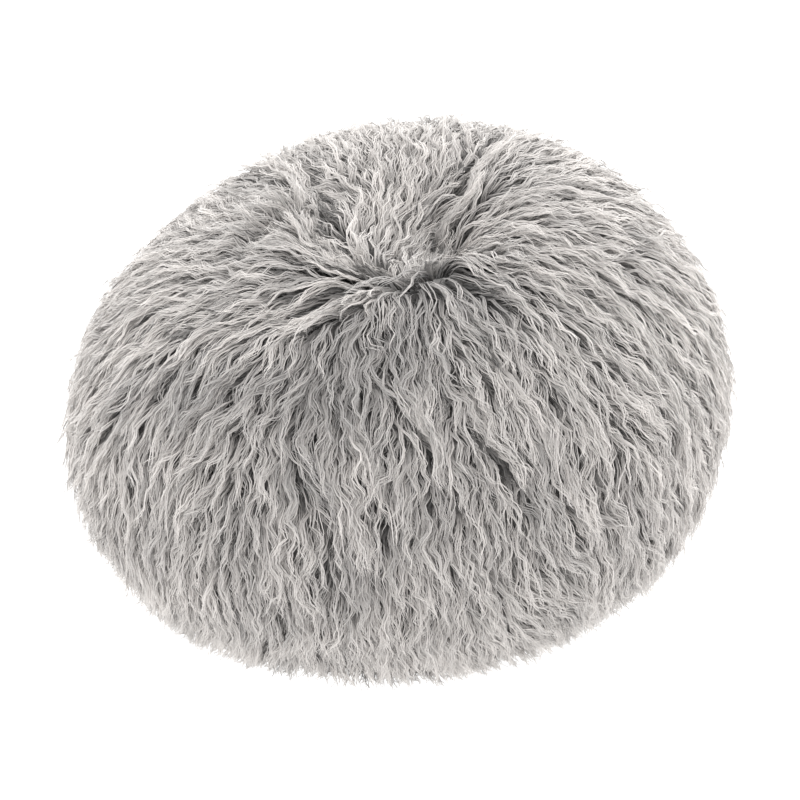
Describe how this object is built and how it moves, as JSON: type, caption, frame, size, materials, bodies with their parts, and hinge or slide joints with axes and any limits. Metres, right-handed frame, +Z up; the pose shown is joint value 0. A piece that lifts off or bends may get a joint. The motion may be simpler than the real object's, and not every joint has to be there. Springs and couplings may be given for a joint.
{
  "type": "bean bag chair",
  "caption": "Round bean bag chair with a long shaggy grey pile cover, a seat dimple in its crown, a zipped inner liner and loose foam filling.",
  "frame": {"origin": "on the floor below the middle of the belly", "axes": "+Z up, front of the seat towards -Y"},
  "size_m": [0.9329, 0.9298, 0.6182],
  "materials": {
    "fur": "matte",
    "base_cloth": "matte",
    "binding": "matte",
    "cover_zip_tape": "matte",
    "cover_zip_coil": "satin",
    "slider_metal": "satin",
    "stop_metal": "satin",
    "label": "matte",
    "liner_cloth": "matte",
    "liner_zip_tape": "matte",
    "liner_zip_coil": "satin",
    "foam": "matte"
  },
  "bodies": {
    "root": {"fur_panel_1": "fur", "fur_panel_2": "fur", "fur_panel_3": "fur", "fur_panel_4": "fur", "fur_panel_5": "fur", "fur_panel_6": "fur", "fur_top_cap": "fur", "base_panel_front": "base_cloth", "base_panel_back": "base_cloth", "base_seam_binding": "binding", "cover_zip_tape_front": "cover_zip_tape", "cover_zip_tape_back": "cover_zip_tape", "cover_zip_coil_front": "cover_zip_coil", "cover_zip_coil_back": "cover_zip_coil", "cover_zip_top_stops": "stop_metal", "cover_zip_bottom_stop": "stop_metal", "care_label": "label", "liner_panel_1": "liner_cloth", "liner_panel_2": "liner_cloth", "liner_panel_3": "liner_cloth", "liner_panel_4": "liner_cloth", "liner_panel_5": "liner_cloth", "liner_panel_6": "liner_cloth", "liner_top_cap": "liner_cloth", "liner_base_front": "liner_cloth", "liner_base_back": "liner_cloth", "liner_zip_tape_front": "liner_zip_tape", "liner_zip_tape_back": "liner_zip_tape", "liner_zip_coil_front": "liner_zip_coil", "liner_zip_coil_back": "liner_zip_coil", "liner_zip_top_stops": "stop_metal", "liner_zip_bottom_stop": "stop_metal", "foam_fill": "foam"},
    "cover_slider": {"cover_zip_slider": "slider_metal"},
    "liner_slider": {"liner_zip_slider": "slider_metal"}
  },
  "joints": [
    {"name": "cover_zip_slide", "type": "slide", "parent": "root", "child": "cover_slider", "axis": [-1, 0, 0], "range_m": [0, 0.425]},
    {"name": "liner_zip_slide", "type": "slide", "parent": "root", "child": "liner_slider", "axis": [-1, 0, 0], "range_m": [0, 0.368]}
  ]
}
